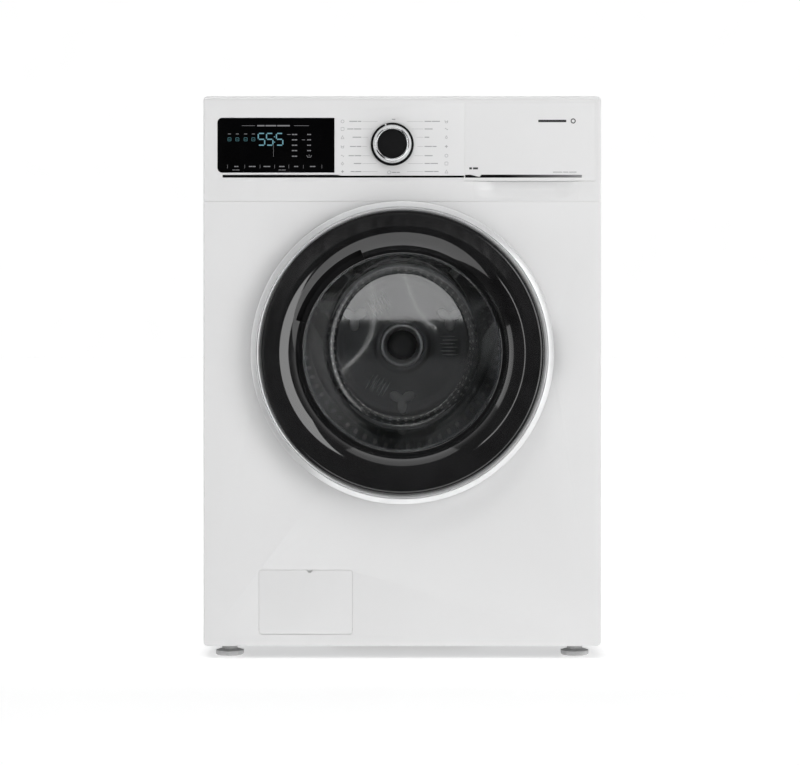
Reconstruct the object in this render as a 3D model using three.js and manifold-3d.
// A free-standing front-load washing machine, built as it comes apart on a bench.
// Millimetres. +X is to the right as seen from the front, +Y runs to the back and +Z is up.
// The origin is on the floor, under the middle of the machine.

import * as THREE from "three";
import { mergeVertices } from "three/addons/utils/BufferGeometryUtils.js";
import Module from "manifold-3d";

const wasm = await Module();
wasm.setup();

// ---------------------------------------------------------------- driving dimensions

const WIDTH = 597;
const HEIGHT = 845;
const HALF = WIDTH / 2;
const FRONT = -250; // outer face of the front panel and of the control fascia
const BACK = 276; // outer face of the rear wall
const REAR_MOST = 291; // end of the water inlet spigot
const BODY_BOTTOM = 20; // underside of the cabinet
const PANEL_TOP = 686.7; // top edge of the front panel
const FASCIA_TOP = 839.7; // top edge of the control fascia
const LID_BOTTOM = 815; // underside of the worktop
const SHEET = 1.5; // sheet steel
const WALL = 2.5; // moulded plastic
const GAP = 0.3; // between touching pieces
const PAN_DEPTH = 18; // folded edge of the front panel
const FASCIA_DEPTH = PAN_DEPTH;

// The drum, the tub and the door share one axis, parallel to Y.
const AXIS_Z = 461;
const DRUM_RADIUS = 243;
const DRUM_FRONT = -172;
const DRUM_BACK = 161.5;
const TUB_RADIUS = 266;
const TUB_WALL = 4;
const TUB_FRONT = -186;
const TUB_SPLIT = -100;
const TUB_BACK = 195;
const SHAFT_RADIUS = 17;
const SHAFT_FACETS = 16;
const SHAFT_BORE = (SHAFT_RADIUS + 0.3) / Math.cos(Math.PI / SHAFT_FACETS); // clears the turning shaft

// The door.
const DOOR_FRONT = -291;
const DOOR_RADIUS = 226;
const DOOR_OPENING = 172;
const TRIM_INNER = 211.5;
const GLASS_RADIUS = 148.5;
const HINGE_X = 218;
const HINGE_Y = -268;
const HINGE_PIN_RADIUS = 3;
const GRIP_FROM = 112; // degrees, anticlockwise from +X as seen from the front
const GRIP_TO = 163;
const LATCH_X = -199;
const LATCH_Y = -264;

// The controls.
const KNOB_X = -15;
const KNOB_Z = 772.8;
const DISPLAY = { x0: -277.2, x1: -101.8, z0: 730.3, z1: 812.3 };
const DRAWER = { x0: 93.5, x1: 290, z0: 717.7, z1: 835.3 };
const TRAY = { x0: 108, x1: 277, z0: 744, z1: 797, back: 18 };
const TRIM = { x0: -269.5, x1: 92.6, z0: 723.2, z1: 727 };
const SCOOP = { x0: 105, x1: 267, z0: 694, back: -239 };

// The pump filter and its flap.
const FLAP = { x0: -215, x1: -75, z0: 37, z1: 134, hingeY: -245.5, hingeZ: 40.5 };
const FILTER_X = -145;
const FILTER_Z = 85.5;

// The drive and the suspension.
const PULLEY_RADIUS = 140;
const MOTOR_PULLEY_RADIUS = 10;
const MOTOR_X = 110;
const MOTOR_Z = 125;
const MOTOR_RADIUS = 56;
const PULLEY_FROM = 243;
const PULLEY_TO = 259;
const DAMPER_X = 175;
const DAMPER_Y = 20;
const DAMPER_LOW = 66; // height of the lower pin
const DAMPER_HIGH = 246; // height of the upper pin
const SPRING_X = 255;
const SPRING_Y = 100;
const SPRING_LOW = 582;
const SPRING_HIGH = 786;
const FOOT_X = 262;
const FOOT_FRONT_Y = -195;
const FOOT_BACK_Y = 235;

// Rear wall connections: [x, z].
const INLET = [235, 775];
const INLET_LINE = [226, 775]; // the pipe from the valve to the dispenser
const OUTLET = [-245, 752];
const GLAND = [-200, 790];

// ---------------------------------------------------------------- solids from three.js shapes

const FINE = 32; // facets round the door
const ROUND = 24; // facets round the drum and the tub
const SMALL = 12; // facets round small pieces
const radians = THREE.MathUtils.degToRad;

// A closed geometry as a solid whose faces point out.
function solid(geometry) {
  const loose = geometry.index ? geometry.toNonIndexed() : geometry;
  const bare = new THREE.BufferGeometry().setAttribute("position", loose.getAttribute("position"));
  const merged = mergeVertices(bare, 1e-3);
  const corners = [];
  for (let i = 0; i < merged.index.count; i += 3) {
    const [a, b, c] = merged.index.array.slice(i, i + 3);
    if (a !== b && b !== c && a !== c) corners.push(a, b, c);
  }
  const make = (triangles) =>
    new wasm.Manifold(
      new wasm.Mesh({
        numProp: 3,
        vertProperties: merged.attributes.position.array,
        triVerts: new Uint32Array(triangles),
      }),
    );
  const made = make(corners);
  return made.volume() < 0 ? make(corners.reverse()) : made;
}

function box(x0, x1, y0, y1, z0, z1) {
  const geometry = new THREE.BoxGeometry(x1 - x0, y1 - y0, z1 - z0);
  return solid(geometry.translate((x0 + x1) / 2, (y0 + y1) / 2, (z0 + z1) / 2));
}

// A round bar along an axis, from one coordinate to another, centred at the other two coordinates.
function bar(axis, radius, from, to, [p, q], facets = SMALL) {
  const geometry = new THREE.CylinderGeometry(radius, radius, to - from, facets);
  const middle = (from + to) / 2;
  if (axis === "x") return solid(geometry.rotateZ(-Math.PI / 2).translate(middle, p, q));
  if (axis === "y") return solid(geometry.translate(p, middle, q));
  return solid(geometry.rotateX(Math.PI / 2).translate(p, q, middle));
}

// A profile of [radius, distance along the axis] turned about the machine's drum axis.
function turned(profile, facets = ROUND, [x, z] = [0, AXIS_Z]) {
  const points = profile.map(([r, y]) => new THREE.Vector2(r, y));
  if (profile[0][0] > 0) points.push(points[0].clone());
  return solid(new THREE.LatheGeometry(points, facets).translate(x, 0, z));
}

// A profile of [radius, height] turned about a vertical axis.
function turnedUpright(profile, [x, y], facets = SMALL) {
  const points = profile.map(([r, z]) => new THREE.Vector2(r, z));
  if (profile[0][0] > 0) points.push(points[0].clone());
  return solid(new THREE.LatheGeometry(points, facets).rotateX(Math.PI / 2).translate(x, y, 0));
}

// A rectangle with rounded corners: one radius, or [lower left, lower right, upper right, upper left].
function rectangle(x0, x1, z0, z1, radii = 0) {
  const [a, b, c, d] = Array.isArray(radii) ? radii : [radii, radii, radii, radii];
  const shape = new THREE.Shape();
  const corner = (x, z, r, from) => {
    if (r > 0) shape.absarc(x, z, r, radians(from), radians(from + 90));
    else shape.lineTo(x, z);
  };
  shape.moveTo(x0 + a, z0);
  corner(x1 - b, z0 + b, b, -90);
  corner(x1 - c, z1 - c, c, 0);
  corner(x0 + d, z1 - d, d, 90);
  corner(x0 + a, z0 + a, a, 180);
  return shape;
}

// A shape in the XZ plane, given thickness along Y.
function plate(shape, y0, y1, curveSegments = 3) {
  const geometry = new THREE.ExtrudeGeometry(shape, { depth: y1 - y0, bevelEnabled: false, curveSegments });
  return solid(geometry.rotateX(Math.PI / 2).translate(0, y1, 0));
}

// A plate whose front edge is rounded.
function softPlate(shape, y0, y1, radius) {
  const options = {
    depth: y1 - y0,
    bevelThickness: radius,
    bevelSize: radius,
    bevelOffset: -radius,
    bevelSegments: 1,
    curveSegments: 3,
  };
  const geometry = new THREE.ExtrudeGeometry(shape, options);
  const whole = solid(geometry.rotateX(Math.PI / 2).translate(0, y1 + radius, 0));
  return whole.subtract(box(-400, 400, y1, y1 + 100, -100, 1000));
}

// A shape in the XY plane, given height along Z.
function column(shape, z0, z1) {
  const depth = z1 - z0;
  const geometry = new THREE.ExtrudeGeometry(shape, { depth, bevelEnabled: false, curveSegments: 3 });
  return solid(geometry.translate(0, 0, z0));
}

// A round section carried along a curve.
function tube(curve, radius, sides, steps) {
  const section = new THREE.Shape();
  for (let i = 0; i < sides; i++) {
    const angle = (i / sides) * 2 * Math.PI;
    const move = i ? "lineTo" : "moveTo";
    section[move](radius * Math.cos(angle), radius * Math.sin(angle));
  }
  return solid(new THREE.ExtrudeGeometry(section, { steps, extrudePath: curve, curveSegments: 1 }));
}

const join = (...solids) => solids.reduce((all, one) => all.add(one));
const cut = (from, ...tools) => tools.reduce((left, tool) => left.subtract(tool), from);

// A sector of a ring round the door's axis, as a shape in the XZ plane.
function ringSector(inner, outer, fromDegrees, toDegrees) {
  const shape = new THREE.Shape();
  shape.absarc(0, AXIS_Z, outer, radians(fromDegrees), radians(toDegrees));
  shape.absarc(0, AXIS_Z, inner, radians(toDegrees), radians(fromDegrees), true);
  return shape;
}

// ---------------------------------------------------------------- the scene graph

const MATERIALS = {
  white_paint: [0xdcdcdc, 0.35, 0.1],
  white_plastic: [0xdcdcdc, 0.4, 0],
  grey_plastic: [0x9a9c9e, 0.6, 0],
  black_gloss: [0x0a0a0b, 0.12, 0],
  black_plastic: [0x1c1c1d, 0.5, 0],
  chrome: [0xd0d2d4, 0.12, 1],
  glass: [0x8c9496, 0.05, 0],
  stainless: [0xb4b6b8, 0.3, 0.9],
  galvanised: [0xa0a4a6, 0.45, 0.8],
  rubber_grey: [0x6a6d70, 0.8, 0],
  rubber_black: [0x202022, 0.85, 0],
  aluminium: [0xaeb2b5, 0.4, 0.9],
  concrete: [0x8f8d88, 0.95, 0],
  translucent_plastic: [0xcfd0cc, 0.5, 0],
};

const machine = new THREE.Group();

function add(name, made, material) {
  const mesh = made.getMesh();
  const positions = new Float32Array(mesh.numVert * 3);
  for (let i = 0; i < mesh.numVert; i++) {
    const at = i * mesh.numProp;
    positions.set(mesh.vertProperties.subarray(at, at + 3), i * 3);
  }
  const geometry = new THREE.BufferGeometry();
  geometry.setAttribute("position", new THREE.BufferAttribute(positions, 3));
  geometry.setIndex(new THREE.BufferAttribute(mesh.triVerts, 1));
  geometry.computeVertexNormals();
  const [color, roughness, metalness] = MATERIALS[material];
  const node = new THREE.Mesh(geometry, new THREE.MeshStandardMaterial({ color, roughness, metalness }));
  node.name = name;
  machine.add(node);
}

// ---------------------------------------------------------------- cabinet

// Both sides and the rear wall are one bent sheet, with a bracket for a spring at the top of each side.
function cabinetWrap() {
  const start = FRONT + PAN_DEPTH + GAP;
  const bend = 8;
  const lip = 14.5;
  const sheet = new THREE.Shape();
  sheet.moveTo(HALF - lip, start);
  sheet.lineTo(HALF, start);
  sheet.absarc(HALF - bend, BACK - bend, bend, 0, radians(90));
  sheet.absarc(-HALF + bend, BACK - bend, bend, radians(90), radians(180));
  sheet.lineTo(-HALF, start);
  sheet.lineTo(-HALF + lip, start);
  sheet.lineTo(-HALF + lip, start + SHEET);
  sheet.lineTo(-HALF + SHEET, start + SHEET);
  sheet.absarc(-HALF + bend, BACK - bend, bend - SHEET, radians(180), radians(90), true);
  sheet.absarc(HALF - bend, BACK - bend, bend - SHEET, radians(90), 0, true);
  sheet.lineTo(HALF - SHEET, start + SHEET);
  sheet.lineTo(HALF - lip, start + SHEET);
  const wrap = column(sheet, BODY_BOTTOM, LID_BOTTOM - GAP);
  const brackets = [-1, 1].flatMap((side) => {
    const span = (a, b) => (side > 0 ? [a, b] : [-b, -a]);
    return [
      box(...span(SPRING_X - 10, HALF - 1), SPRING_Y - 6, SPRING_Y + 6, SPRING_HIGH + 2, SPRING_HIGH + 5),
      box(...span(HALF - 5, HALF - 1), SPRING_Y - 20, SPRING_Y + 20, 760, 800),
    ];
  });
  const back = [BACK - 5, BACK + 5];
  return cut(
    join(wrap, ...brackets),
    plate(rectangle(-205, 205, 255, 655, 20), ...back),
    bar("y", 14.3, ...back, INLET),
    bar("y", 13, ...back, OUTLET),
    bar("y", 8, ...back, GLAND),
  );
}

function rearCover() {
  const flange = plate(rectangle(-215, 215, 245, 665, 24), BACK + GAP, BACK + GAP + 1.3);
  const dish = softPlate(rectangle(-190, 190, 270, 640, 30), -(BACK + 7), -BACK - 1, 2);
  const outside = dish.mirror([0, 1, 0]);
  const inside = box(-180, 180, BACK, BACK + 5.5, 280, 630);
  return cut(join(flange, outside), inside);
}

// The plastic tray that closes the bottom, carries the feet and holds the dampers' lower pins.
function baseFrame() {
  const side = HALF - SHEET - GAP;
  const front = FRONT + PAN_DEPTH + 3.5;
  const back = BACK - SHEET - GAP;
  const rim = 48;
  const tray = cut(
    column(rectangle(-side, side, front, back, 9), BODY_BOTTOM, rim),
    column(rectangle(-side + 3, side - 3, front + 3, back - 3, 6), BODY_BOTTOM + 3, rim + 1),
    box(-110, 110, -150, 170, BODY_BOTTOM - 1, BODY_BOTTOM + 5),
  );
  const bosses = footPlaces().map(([x, y]) => bar("z", 15, BODY_BOTTOM + 1, rim, [x, y], 10));
  const holes = footPlaces().map(([x, y]) => bar("z", 6.6, BODY_BOTTOM - 2, rim + 2, [x, y], 10));
  const ears = [-DAMPER_X, DAMPER_X].flatMap((x) => pinEars(x, BODY_BOTTOM + 1, DAMPER_LOW + 10, DAMPER_LOW));
  return cut(join(tray, ...bosses, ...ears), ...holes);
}

function footPlaces() {
  return [
    [-FOOT_X, FOOT_FRONT_Y],
    [FOOT_X, FOOT_FRONT_Y],
    [-FOOT_X, FOOT_BACK_Y],
    [FOOT_X, FOOT_BACK_Y],
  ];
}

// Two ears with a hole along Y for a damper's pin.
function pinEars(x, z0, z1, pinZ) {
  return [-1, 1].map((side) => {
    const [near, far] = side > 0 ? [8, 12] : [-12, -8];
    const ear = box(x - 11, x + 11, DAMPER_Y + near, DAMPER_Y + far, z0, z1);
    return ear.subtract(bar("y", 4.6, DAMPER_Y - 15, DAMPER_Y + 15, [x, pinZ], 8));
  });
}

// A levelling foot: rubber pad, hexagon and threaded stem in one.
function foot([x, y]) {
  const profile = [[0, 0], [20, 0], [22, 2], [22, 7], [12, 10], [12, 18], [6, 18.5], [6, 54], [0, 54]];
  return turnedUpright(profile, [x, y], 10);
}

function frontPanel() {
  const back = FRONT + PAN_DEPTH;
  const outline = rectangle(-HALF, HALF, BODY_BOTTOM, PANEL_TOP, [6, 6, 2.5, 2.5]);
  const hollow = rectangle(-HALF + SHEET, HALF - SHEET, BODY_BOTTOM + SHEET, PANEL_TOP - SHEET, [4, 4, 1, 1]);
  const pan = softPlate(outline, FRONT, back, 2).subtract(plate(hollow, FRONT + SHEET, back + 1));
  const lug = (x) => {
    const block = box(x, x + 5, FRONT + 1, FLAP.hingeY + 4, FLAP.hingeZ - 4, FLAP.hingeZ + 5);
    return block.subtract(bar("x", 2, x - 1, x + 6, [FLAP.hingeY, FLAP.hingeZ], 8));
  };
  const collarOuter = DOOR_OPENING + SHEET;
  const collar = turned(
    [[DOOR_OPENING, FRONT + 0.5], [collarOuter, FRONT + 0.5], [collarOuter, -236], [DOOR_OPENING, -236]],
    FINE,
  );
  const through = [FRONT - 1, FRONT + 3];
  const knuckleSlots = [-1, 1].map((side) =>
    box(211, 225, ...through, AXIS_Z + side * 26 - 7, AXIS_Z + side * 26 + 7),
  );
  const holed = cut(pan, bar("y", DOOR_OPENING, ...through, [0, AXIS_Z], FINE));
  return cut(
    join(holed, collar, lug(FLAP.x0 - 7.5), lug(FLAP.x1 + 2.5)),
    plate(rectangle(FLAP.x0 - 1, FLAP.x1 + 1, FLAP.z0 - 2.5, FLAP.z1 + 1.5, 4), ...through),
    box(LATCH_X - 14, LATCH_X + 13, ...through, AXIS_Z - 14, AXIS_Z + 14),
    ...knuckleSlots,
  );
}

// The worktop has a thin front lip over the fascia and a hollow underside.
function worktop() {
  const outline = rectangle(-HALF, HALF, LID_BOTTOM, HEIGHT, [2.5, 2.5, 6, 6]);
  return cut(
    softPlate(outline, FRONT, BACK, 2),
    box(-400, 400, FRONT - 5, FRONT + FASCIA_DEPTH + GAP, LID_BOTTOM - 5, FASCIA_TOP + GAP),
    box(-280, 280, -212, 258, LID_BOTTOM - 5, 827),
  );
}

// A steel bar behind the fascia ties the two sides together.
function frontCrossbar() {
  const end = HALF - SHEET - GAP;
  const front = FRONT + PAN_DEPTH + GAP + SHEET + GAP;
  const z0 = PANEL_TOP + 3.5;
  const channel = box(-end, end, front, front + 7, z0, z0 + 40);
  return channel.subtract(box(-300, 300, front + 2, front + 10, z0 + 2, z0 + 38));
}

// ---------------------------------------------------------------- controls

function controlFascia() {
  const back = FRONT + FASCIA_DEPTH;
  const low = PANEL_TOP + 0.5;
  const outline = rectangle(-HALF, HALF, low, FASCIA_TOP, 2.5);
  const hollow = rectangle(-HALF + WALL, HALF - WALL, low + WALL, FASCIA_TOP - WALL, 0.5);
  const shell = softPlate(outline, FRONT, back, 2).subtract(plate(hollow, FRONT + WALL, back + 1));
  const scoopBack = box(
    SCOOP.x0 - 2.3, SCOOP.x1 + 2.3, FRONT + 1, SCOOP.back + 2.4, low + 1, DRAWER.z0 - 0.7,
  );
  const pocket = rectangle(SCOOP.x0, SCOOP.x1, SCOOP.z0, DRAWER.z0 + 2, [8, 8, 0, 0]);
  const scoop = plate(pocket, FRONT - 1, SCOOP.back);
  const opening = rectangle(DRAWER.x0 - 0.5, DRAWER.x1 + 0.5, DRAWER.z0 - 0.5, DRAWER.z1 + 0.5, 1);
  const { x0, x1, z0, z1 } = DISPLAY;
  const window = rectangle(x0 - GAP, x1 + GAP, z0 - GAP, z1 + GAP, [7, 1, 1, 7]);
  return cut(
    join(shell, scoopBack),
    scoop,
    plate(opening, FRONT - 1, FRONT + WALL + 9),
    plate(window, FRONT - 1, FRONT + WALL + 1),
    box(TRIM.x0 - GAP, TRIM.x1 + GAP + 1, FRONT - 1, FRONT + 1.2, TRIM.z0 - GAP, TRIM.z1 + GAP),
    bar("y", 6.5, FRONT - 1, FRONT + WALL + 1, [KNOB_X, KNOB_Z]),
  );
}

function displayWindow() {
  const shape = rectangle(DISPLAY.x0, DISPLAY.x1, DISPLAY.z0, DISPLAY.z1, [6.7, 0.7, 0.7, 6.7]);
  return plate(shape, FRONT - 0.2, FRONT + 4);
}

function fasciaTrim() {
  return box(TRIM.x0, TRIM.x1, FRONT - 0.5, FRONT + 0.9, TRIM.z0, TRIM.z1);
}

function controlBoard() {
  const housing = box(-285, 20, FRONT + 6.5, FRONT + 17.5, 702, 825);
  return housing.subtract(bar("y", 6.5, FRONT, FRONT + 30, [KNOB_X, KNOB_Z], 12));
}

function knobBody() {
  const profile = [
    [0, -268], [21, -268], [21, -254], [32.3, -254], [32.3, -250.6], [5, -250.6], [5, -234], [0, -234],
  ];
  return turned(profile, 24, [KNOB_X, KNOB_Z]);
}

function knobRing() {
  const profile = [[21.4, -254.3], [30.3, -254.3], [29.3, -266], [27, -271.4], [23, -272], [21.4, -270.6]];
  return turned(profile, 24, [KNOB_X, KNOB_Z]);
}

// ---------------------------------------------------------------- detergent drawer

function drawerFront() {
  const outline = rectangle(DRAWER.x0, DRAWER.x1, DRAWER.z0, DRAWER.z1, 1.5);
  const pocket = rectangle(DRAWER.x0 + WALL, DRAWER.x1 - WALL, DRAWER.z0 + WALL, DRAWER.z1 - WALL, 0.5);
  return softPlate(outline, FRONT, FRONT + 12, 1).subtract(plate(pocket, FRONT + WALL, FRONT + 13));
}

// An open tray with three compartments.
function drawerTray() {
  const { x0, x1, z0, z1, back } = TRAY;
  const front = FRONT + WALL + GAP;
  const walls = [x0, x0 + 57, x0 + 113, x1];
  const wells = walls.slice(1).map((x, i) => {
    const right = i === 2 ? x - 2 : x;
    return box(walls[i] + 2, right, front + 3, back - 2, z0 + 2, z1 + 1);
  });
  return cut(box(x0, x1, front, back, z0, z1), ...wells);
}

function dispenserHousing() {
  const [x0, x1, y0, y1, z0, z1] = [100, 283.5, FRONT + FASCIA_DEPTH + 1, 60, 735, 812];
  return cut(
    join(box(x0, x1, y0, y1, z0, z1), bar("z", 18, 722, z0 + 1, FILL), bar("y", 9, y1 - 1, 84, INLET_LINE)),
    box(x0 + WALL, x1 - WALL, y0 - 1, y1 - WALL, z0 + WALL, z1 - WALL),
    bar("z", 14, 700, z0 + 5, FILL),
    bar("y", 6, y1 - 5, 90, INLET_LINE),
  );
}

function inletValve() {
  const [x, z] = INLET;
  return cut(
    join(
      box(x - 20, x + 20, 236, 268, z - 22, z + 22),
      bar("y", 18, 266, BACK - SHEET - GAP, INLET),
      bar("y", 13.2, 272, REAR_MOST, INLET),
      bar("y", 9, 212, 237, INLET_LINE),
      bar("z", 11, z + 20, z + 34, [x, 252]),
    ),
    bar("y", 8.5, BACK - 4, REAR_MOST + 1, INLET),
    bar("y", 6, 205, 240, INLET_LINE),
  );
}

function cordGland() {
  const profile = [
    [4.5, 266], [7.6, 266], [7.6, BACK + GAP], [13, BACK + GAP],
    [13, BACK + 4], [8, BACK + 12], [4.5, BACK + 12],
  ];
  return turned(profile, SMALL, GLAND);
}

// ---------------------------------------------------------------- door

function doorTrimRing() {
  const profile = [
    [TRIM_INNER, -281], [216, -286], [222.5, -284], [DOOR_RADIUS, -277], [DOOR_RADIUS, -254], [222.5, -254],
    [222.5, -275], [TRIM_INNER, -278.5],
  ];
  const notch = box(207, 230, -276.5, -250, AXIS_Z - 34.5, AXIS_Z + 34.5);
  return turned(profile, FINE).subtract(notch);
}

// The black front ring: a shallow dome outside, a cove down to the glass, and a grip pocket cut in the cove.
function doorFrontRing() {
  const profile = [
    [GLASS_RADIUS, -264], [GLASS_RADIUS, -269], [164, -284], [182, DOOR_FRONT], [207, -286.5],
    [TRIM_INNER - GAP, -283], [TRIM_INNER - GAP, -278.5], [182, -285], [166, -278], [158, -264],
  ];
  return cut(
    turned(profile, FINE),
    plate(ringSector(149.5, 166, GRIP_FROM, GRIP_TO), DOOR_FRONT - 1, -265.5, 5),
    plate(ringSector(157.8, 168, GRIP_FROM, GRIP_TO), -280, -258, 5),
  );
}

function doorGlass() {
  return turned(
    [
      [0, -160], [90, -163], [101, -172], [147, -263.5], [156, -263.5], [156, -257.6], [146.5, -257.6],
      [106, -171], [92, -158], [0, -154.5],
    ],
    FINE,
  );
}

// The rear ring of the door. It clamps the glass and carries the hinge's middle knuckle.
function doorInnerFrame() {
  const ring = turned([[149.5, -257.2], [221.8, -257.2], [221.8, -253.8], [149.5, -253.2]], FINE);
  const slots = [-1, 1].map((side) =>
    box(208, 230, -260, -250, AXIS_Z + side * 26 - 7, AXIS_Z + side * 26 + 7),
  );
  const knuckle = join(
    box(206, 219, -273, -255, AXIS_Z - 18.5, AXIS_Z + 18.5),
    bar("z", 5.5, AXIS_Z - 18.5, AXIS_Z + 18.5, [HINGE_X, HINGE_Y]),
  );
  const latchSlot = box(LATCH_X - 12, LATCH_X + 9, -260, -250, AXIS_Z - 12, AXIS_Z + 12);
  return cut(
    join(cut(ring, ...slots, latchSlot), knuckle),
    bar("z", HINGE_PIN_RADIUS + GAP + 0.1, AXIS_Z - 25, AXIS_Z + 25, [HINGE_X, HINGE_Y], 10),
  );
}

// The hinge bracket sits behind the front panel. Its two knuckles reach out through slots and hold the pin.
function hingeBracket() {
  const knuckles = [-1, 1].map((side) => {
    const [z0, z1] = [AXIS_Z + side * 26 - 5, AXIS_Z + side * 26 + 5];
    return join(
      box(HINGE_X - 2.5, HINGE_X + 2.5, HINGE_Y, FRONT + 3, z0, z1),
      bar("z", 5, z0, z1, [HINGE_X, HINGE_Y]),
    );
  });
  const back = box(192, 238, FRONT + SHEET + GAP, FRONT + SHEET + 3, AXIS_Z - 50, AXIS_Z + 50);
  const pin = bar("z", HINGE_PIN_RADIUS, AXIS_Z - 30, AXIS_Z + 30, [HINGE_X, HINGE_Y], 10);
  return join(back, ...knuckles, pin);
}

// The latch hook turns a little in the door, so that its barb clears the lock.
function latchHook() {
  const [x, y] = [LATCH_X, LATCH_Y];
  const [z0, z1] = [AXIS_Z - 7, AXIS_Z + 7];
  return join(
    bar("z", 4, z0 - 4, z1 + 4, [x, y], 12),
    box(x - 2.5, x + 2.5, y, -229, z0, z1),
    box(x - 7, x, -236, -230, z0, z1),
  );
}

function doorLock() {
  const [x0, x1] = [LATCH_X - 30, LATCH_X + 24];
  return cut(
    box(x0, x1, FRONT + SHEET + GAP, -225, AXIS_Z - 32, AXIS_Z + 32),
    box(LATCH_X - 16, LATCH_X + 14, FRONT, -227.5, AXIS_Z - 14, AXIS_Z + 14),
    bar("y", 184, FRONT, -220, [0, AXIS_Z], FINE),
  );
}

// The bellows between the door opening and the tub's neck.
function doorGasket() {
  const profile = [
    [146.5, -249.5], [171.6, -252.5], [171.6, -233], [181, -224], [181, -190], [171.9, -190], [171.9, -200.4],
    [165, -200.4], [176, -210], [176, -221], [165, -233], [161, -246],
  ];
  return turned(profile, FINE);
}

// ---------------------------------------------------------------- tub and drum

const TUB_BORE = TUB_RADIUS - TUB_WALL;

function tubFront() {
  return turned([
    [168.5, -200], [171.5, -200], [171.5, TUB_FRONT],
    [TUB_RADIUS, TUB_FRONT], [TUB_RADIUS, TUB_SPLIT - 4], [274, TUB_SPLIT - 4],
    [274, TUB_SPLIT - GAP], [TUB_BORE, TUB_SPLIT - GAP], [TUB_BORE, TUB_FRONT + TUB_WALL],
    [168.5, TUB_FRONT + TUB_WALL],
  ], FINE);
}

const SUMP = { x: 60, y0: -60, y1: 114, z0: 173, wall: 4 };
const SUMP_SPOUT = { y: -30, z: 191 };
const FILL = [165, 20]; // where the water falls from the dispenser into the tub

// The rear half of the tub: barrel, ribbed back with the bearing hub, sump, and the lugs that hold it.
function tubRear() {
  const barrel = turned([
    [TUB_BORE, TUB_SPLIT], [274, TUB_SPLIT], [274, TUB_SPLIT + 4], [TUB_RADIUS, TUB_SPLIT + 4],
    [TUB_RADIUS, TUB_BACK], [56, TUB_BACK], [49, 237],
    [36.5, 237], [36.5, TUB_BACK - 5], [TUB_BORE, TUB_BACK - 5],
  ]);
  const ribs = Array.from({ length: 6 }, (_, i) => {
    const rib = new THREE.BoxGeometry(204, 12, 5).translate(150, TUB_BACK + 4, 0);
    return solid(rib.rotateY(radians(30 + i * 60)).translate(0, 0, AXIS_Z));
  });
  const inside = bar("y", TUB_BORE + 1, TUB_SPLIT - 10, TUB_BACK - 6, [0, AXIS_Z], ROUND);
  const outsideOnly = (made) => made.subtract(inside);
  const springLugs = [-1, 1].map((side) => {
    const [a, b] = side > 0 ? [222, 266] : [-266, -222];
    const lug = box(a, b, SPRING_Y - 6, SPRING_Y + 6, SPRING_LOW - 24, SPRING_LOW - 4);
    return outsideOnly(lug);
  });
  const damperLugs = [-1, 1].flatMap((side) =>
    pinEars(side * DAMPER_X, DAMPER_HIGH - 10, DAMPER_HIGH + 30, DAMPER_HIGH).map(outsideOnly),
  );
  const motorArms = [92, 176].map((y) => outsideOnly(box(MOTOR_X - 10, MOTOR_X + 10, y, y + 12, 185, 232)));
  const { x, y0, y1, z0, wall } = SUMP;
  const sump = outsideOnly(box(-x, x, y0, y1, z0, 230));
  const spout = bar("x", 18, -x - 20, -x + 2, [SUMP_SPOUT.y, SUMP_SPOUT.z]);
  const filler = outsideOnly(bar("z", 18, 640, 690, FILL));
  return cut(
    join(barrel, ...ribs, ...springLugs, ...damperLugs, ...motorArms, sump, spout, filler),
    box(-x + wall, x - wall, y0 + wall, y1 - wall, z0 + wall, 226),
    bar("x", 14, -x - 25, -x + 8, [SUMP_SPOUT.y, SUMP_SPOUT.z]),
    bar("z", 14, 640, 700, FILL),
    box(-34, 34, y1 - wall - 1, y1 + 1, 178, 192),
  );
}

// A U-shaped heating tube under the drum, with a plug that fills its hole in the sump.
function heater() {
  const z = 185;
  const legs = [
    [-22, 108], [-22, 40], [-22, -25], [-16, -42], [0, -48], [16, -42], [22, -25], [22, 40], [22, 108],
  ].map(([x, y]) => new THREE.Vector3(x, y, z));
  const loop = tube(new THREE.CatmullRomCurve3(legs), 4, 6, 16);
  const plug = box(-33.7, 33.7, 106, 120, 178.3, 191.7);
  const terminals = [-20, 14].map((x) => box(x, x + 6, 118, 132, 182, 188));
  return join(loop, plug, ...terminals);
}

function counterweightFront() {
  return turned([[192, -218], [256, -218], [256, TUB_FRONT - GAP], [192, TUB_FRONT - GAP]]);
}

function counterweightTop() {
  const saddle = bar("y", TUB_RADIUS + 1, -80, 160, [0, AXIS_Z], ROUND);
  return box(-150, 50, -60, 140, 700, 782).subtract(saddle);
}

function drumShell() {
  const t = 1.5;
  return turned(
    [
      [0, DRUM_BACK], [232, DRUM_BACK], [DRUM_RADIUS, 151], [DRUM_RADIUS, -160], [232, DRUM_FRONT],
      [160, DRUM_FRONT], [156, -168], [158, -167], [161, DRUM_FRONT + t], [231.4, DRUM_FRONT + t],
      [DRUM_RADIUS - t, -159.4], [DRUM_RADIUS - t, 150.4], [231.4, DRUM_BACK - t], [0, DRUM_BACK - t],
    ],
  );
}

const LIFTER_ANGLES = [45, 165, 285]; // degrees, anticlockwise from +X as seen from the front

// A hollow-looking rib that lifts the laundry, its base just inside the drum wall.
function lifter(angle) {
  const base = DRUM_RADIUS - 8;
  const shape = new THREE.Shape();
  shape.moveTo(-32, base);
  shape.lineTo(-12, base - 44);
  shape.absarc(0, base - 44, 12, radians(180), radians(360));
  shape.lineTo(32, base);
  const geometry = new THREE.ExtrudeGeometry(shape, { depth: 270, bevelEnabled: false, curveSegments: 4 });
  geometry.rotateX(Math.PI / 2).translate(0, 130, 0);
  return solid(geometry.rotateY(radians(90 - angle)).translate(0, 0, AXIS_Z));
}

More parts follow.
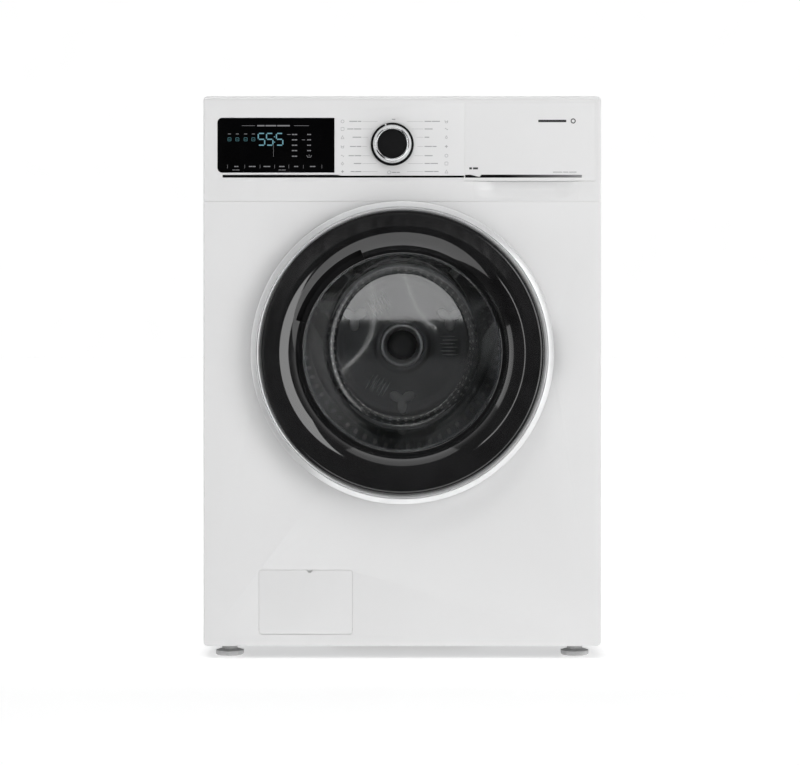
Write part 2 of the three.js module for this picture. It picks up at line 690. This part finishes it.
// Three cast arms behind the drum, with the shaft.
function drumSpider() {
  const hub = turned(
    [[0, 163], [40, 163], [40, 178], [SHAFT_RADIUS, 181], [SHAFT_RADIUS, 261], [0, 261]],
    SHAFT_FACETS,
  );
  const arms = LIFTER_ANGLES.map((angle) => {
    const arm = new THREE.BoxGeometry(206, 12, 34).translate(129, 170, 0);
    return solid(arm.rotateY(radians(-angle - 60)).translate(0, 0, AXIS_Z));
  });
  return join(hub, ...arms);
}

function bearing(y0, y1) {
  const profile = [[SHAFT_BORE, y0], [35.9, y0], [35.9, y1], [SHAFT_BORE, y1]];
  return turned(profile, SMALL + 4);
}

function drumPulley() {
  const rim = turned(
    [
      [PULLEY_RADIUS - 9, PULLEY_FROM], [PULLEY_RADIUS, PULLEY_FROM],
      [PULLEY_RADIUS, PULLEY_TO], [PULLEY_RADIUS - 9, PULLEY_TO],
    ],
  );
  const hub = turned([[SHAFT_BORE, 241], [28, 241], [28, 260], [SHAFT_BORE, 260]], SHAFT_FACETS);
  const spokes = Array.from({ length: 5 }, (_, i) => {
    const spoke = new THREE.BoxGeometry(110, 10, 16).translate(79, (PULLEY_FROM + PULLEY_TO) / 2, 0);
    return solid(spoke.rotateY(radians(i * 72)).translate(0, 0, AXIS_Z));
  });
  return join(rim, hub, ...spokes);
}

// The outline of a belt run round both pulleys, a given distance outside them.
function beltOutline(offset) {
  const [dx, dz] = [MOTOR_X, MOTOR_Z - AXIS_Z];
  const direction = Math.atan2(dz, dx);
  const spread = Math.acos((PULLEY_RADIUS - MOTOR_PULLEY_RADIUS) / Math.hypot(dx, dz));
  const path = new THREE.Shape();
  path.absarc(0, AXIS_Z, PULLEY_RADIUS + offset, direction + spread, direction - spread + 2 * Math.PI);
  path.absarc(MOTOR_X, MOTOR_Z, MOTOR_PULLEY_RADIUS + offset, direction - spread, direction + spread);
  return path;
}

function driveBelt() {
  const [y0, y1] = [PULLEY_FROM + 2, PULLEY_TO - 2];
  const around = (offset, from, to) => plate(beltOutline(offset), from, to, ROUND / 2);
  return around(5, y0, y1).subtract(around(1.5, y0 - 1, y1 + 1));
}

function motorBody() {
  const can = turned(
    [
      [0, 84], [MOTOR_RADIUS - 6, 84], [MOTOR_RADIUS, 92], [MOTOR_RADIUS, 206], [MOTOR_RADIUS - 6, 214],
      [7.5, 214], [7.5, 205], [34, 205], [34, 96], [0, 96],
    ],
    18,
    [MOTOR_X, MOTOR_Z],
  );
  const crown = MOTOR_Z + MOTOR_RADIUS;
  const lugs = [104.5, 163.5].map((y) => box(MOTOR_X - 10, MOTOR_X + 10, y, y + 12, crown - 12, 208));
  return join(can, ...lugs);
}

function motorRotor() {
  const profile = [
    [0, 98], [32, 98], [32, 202], [6, 202], [6, PULLEY_FROM], [MOTOR_PULLEY_RADIUS, PULLEY_FROM],
    [MOTOR_PULLEY_RADIUS, PULLEY_TO], [0, PULLEY_TO],
  ];
  return turned(profile, 16, [MOTOR_X, MOTOR_Z]);
}

// ---------------------------------------------------------------- suspension

// A round eye with a pin through it, along Y.
function pinnedEye(x, z) {
  return [
    bar("y", 9, DAMPER_Y - 7.5, DAMPER_Y + 7.5, [x, z]),
    bar("y", 4, DAMPER_Y - 13.5, DAMPER_Y + 13.5, [x, z], 8),
  ];
}

function damperCylinder(x) {
  const neck = bar("z", 7, DAMPER_LOW, 84, [x, DAMPER_Y]);
  return cut(
    join(...pinnedEye(x, DAMPER_LOW), neck, bar("z", 16, 80, 196, [x, DAMPER_Y])),
    bar("z", 12.3, 84, 200, [x, DAMPER_Y]),
  );
}

function damperRod(x) {
  return join(
    ...pinnedEye(x, DAMPER_HIGH),
    bar("z", 5.5, 140, DAMPER_HIGH, [x, DAMPER_Y]),
    bar("z", 11.4, 128, 148, [x, DAMPER_Y]),
  );
}

// A coil spring's centreline: a straight end, the coil and another straight end.
class SpringLine extends THREE.Curve {
  constructor(x, turns, radius) {
    super();
    Object.assign(this, { x, turns, radius });
  }

  getPoint(t, target = new THREE.Vector3()) {
    const end = 0.08;
    const along = THREE.MathUtils.clamp((t - end) / (1 - 2 * end), 0, 1);
    const swell = Math.min(1, t / end, (1 - t) / end);
    const angle = along * this.turns * 2 * Math.PI;
    return target.set(
      this.x + this.radius * swell * Math.cos(angle),
      SPRING_Y + this.radius * swell * Math.sin(angle),
      SPRING_LOW + t * (SPRING_HIGH - SPRING_LOW),
    );
  }
}

// ---------------------------------------------------------------- drain

function filterHousing() {
  const [x, z] = [FILTER_X, FILTER_Z];
  return cut(
    join(
      bar("y", 33, -242, -131, [x, z], 16),
      bar("y", 38, -242, -239, [x, z], 16),
      bar("z", 19, z + 20, 126, [x, -165]),
    ),
    bar("y", 28.5, -245, -135, [x, z], 16),
    bar("y", 12, -140, -130, [x, z]),
    bar("z", 14, z + 10, 130, [x, -165]),
  );
}

function pumpFilter() {
  const [x, z] = [FILTER_X, FILTER_Z];
  const basket = cut(
    bar("y", 22, -233, -142, [x, z], SMALL),
    bar("y", 19, -228, -140, [x, z], SMALL),
    box(x - 6, x + 6, -220, -155, z - 30, z + 30),
    box(x - 30, x + 30, -220, -155, z - 6, z + 6),
  );
  const cap = bar("y", 27.8, -240, -232, [x, z], 16);
  const handle = box(x - 22, x + 22, -245.2, -239, z - 4, z + 4);
  return join(cap, handle, basket);
}

function drainPump() {
  const [x, z] = [FILTER_X, FILTER_Z];
  return cut(
    join(
      bar("y", 31, -130.6, -98, [x, z], 16),
      bar("y", 24, -99, -45, [x, z]),
      bar("x", 11, x - 44, x - 24, [-114, z]),
    ),
    bar("y", 26, -127, -103, [x, z], 16),
    bar("y", 12, -132, -126, [x, z]),
    bar("y", 3.6, -104, -68, [x, z], 12),
    bar("x", 8, x - 45, x - 20, [-114, z]),
  );
}

function pumpImpeller() {
  const [x, z] = [FILTER_X, FILTER_Z];
  return join(
    bar("y", 6, -125, -106, [x, z], 12),
    box(x - 20, x + 20, -122, -108, z - 1.5, z + 1.5),
    box(x - 1.5, x + 1.5, -122, -108, z - 20, z + 20),
    bar("y", 3, -107, -72, [x, z], 12),
  );
}

const curveThrough = (points) => new THREE.CatmullRomCurve3(points.map((p) => new THREE.Vector3(...p)));

// From the pump, along the floor of the cabinet, up the rear corner and out through the rear wall.
function drainHose() {
  const [x, z] = OUTLET;
  const route = [
    [-190.8, -114, FILTER_Z], [-215, -113, 84], [-254, -90, 76], [-268, -40, 74], [-268, 190, 74],
    [-268, 235, 88], [-268, 252, 140], [-268, 252, 300], [-268, 252, 600], [-262, 246, 700],
    [-252, 236, z - 14],
    [x, 250, z], [x, 284, z],
  ];
  return cut(
    join(tube(curveThrough(route), 10.5, 6, 26), bar("y", 17, BACK + GAP, BACK + 4, OUTLET)),
    bar("y", 8, 270, 290, OUTLET),
  );
}

function sumpHose() {
  const route = [
    [-81.5, SUMP_SPOUT.y, SUMP_SPOUT.z], [-104, SUMP_SPOUT.y - 1, SUMP_SPOUT.z - 1], [-132, -58, 184],
    [-144, -110, 172], [FILTER_X, -152, 158], [FILTER_X, -165, 140], [FILTER_X, -165, 127],
  ];
  return tube(curveThrough(route), 16, 8, 14);
}

// The bellows that lets the tub move under the dispenser.
function tubFillHose() {
  const outside = [
    [14, 690.3], [18, 690.3], [18, 696], [22, 701], [18, 706], [22, 711], [18, 716], [18, 721.7],
  ];
  return turnedUpright([...outside, [14, 721.7], [17, 711], [17, 701]], FILL, 10);
}

function inletHose() {
  const [x, z] = INLET_LINE;
  const sag = [[x + 5, 130, z - 6], [x + 5, 170, z - 6]];
  const route = [[x, 84.6, z], [x, 100, z], ...sag, [x, 196, z], [x, 211.4, z]];
  return tube(curveThrough(route), 9, 8, 10);
}

function pumpFlap() {
  const { x0, x1, z0, z1, hingeY, hingeZ } = FLAP;
  return join(
    softPlate(rectangle(x0, x1, z0, z1, 4), FRONT, FRONT + 3.2, 1.2),
    bar("x", 1.6, x0 - 6, x1 + 6, [hingeY, hingeZ], 8),
  );
}

// ---------------------------------------------------------------- assembly

add("cabinet_wrap", cabinetWrap(), "white_paint");
add("base_frame", baseFrame(), "grey_plastic");
add("front_panel", frontPanel(), "white_paint");
add("worktop", worktop(), "white_plastic");
add("rear_access_cover", rearCover(), "galvanised");
add("front_crossbar", frontCrossbar(), "galvanised");
["foot_front_left", "foot_front_right", "foot_rear_left", "foot_rear_right"].forEach((name, i) =>
  add(name, foot(footPlaces()[i]), "rubber_black"),
);

add("control_fascia", controlFascia(), "white_plastic");
add("display_window", displayWindow(), "black_gloss");
add("fascia_trim", fasciaTrim(), "chrome");
add("control_board", controlBoard(), "grey_plastic");
add("knob_body", knobBody(), "black_plastic");
add("knob_ring", knobRing(), "chrome");

add("drawer_front", drawerFront(), "white_plastic");
add("drawer_tray", drawerTray(), "translucent_plastic");
add("dispenser_housing", dispenserHousing(), "translucent_plastic");
add("inlet_valve", inletValve(), "grey_plastic");
add("cord_gland", cordGland(), "black_plastic");

add("door_trim_ring", doorTrimRing(), "chrome");
add("door_front_ring", doorFrontRing(), "black_gloss");
add("door_glass", doorGlass(), "glass");
add("door_inner_frame", doorInnerFrame(), "grey_plastic");
add("latch_hook", latchHook(), "galvanised");
add("door_lock", doorLock(), "black_plastic");
add("hinge_bracket", hingeBracket(), "galvanised");
add("door_gasket", doorGasket(), "rubber_grey");

add("tub_front", tubFront(), "translucent_plastic");
add("tub_rear", tubRear(), "translucent_plastic");
add("heater_element", heater(), "stainless");
add("counterweight_front", counterweightFront(), "concrete");
add("counterweight_top", counterweightTop(), "concrete");
add("bearing_front", bearing(192, 208), "stainless");
add("bearing_rear", bearing(220, 236), "stainless");
add("motor_body", motorBody(), "galvanised");
add("drive_belt", driveBelt(), "rubber_black");

add("drum_shell", drumShell(), "stainless");
LIFTER_ANGLES.forEach((angle, i) => add("drum_lifter_" + (i + 1), lifter(angle), "grey_plastic"));
add("drum_spider", drumSpider(), "aluminium");
add("drum_pulley", drumPulley(), "aluminium");
add("motor_rotor", motorRotor(), "galvanised");

[["left", -1], ["right", 1]].forEach(([side, sign]) => {
  add("damper_cylinder_" + side, damperCylinder(sign * DAMPER_X), "grey_plastic");
  add("damper_rod_" + side, damperRod(sign * DAMPER_X), "galvanised");
  add("suspension_spring_" + side, tube(new SpringLine(sign * SPRING_X, 5, 13), 2, 4, 38), "galvanised");
});

add("pump_filter", pumpFilter(), "white_plastic");
add("filter_housing", filterHousing(), "grey_plastic");
add("drain_pump", drainPump(), "black_plastic");
add("pump_impeller", pumpImpeller(), "black_plastic");
add("sump_hose", sumpHose(), "rubber_black");
add("drain_hose", drainHose(), "rubber_grey");
add("inlet_hose", inletHose(), "rubber_black");
add("tub_fill_hose", tubFillHose(), "rubber_black");
add("pump_flap", pumpFlap(), "white_paint");

export default machine;
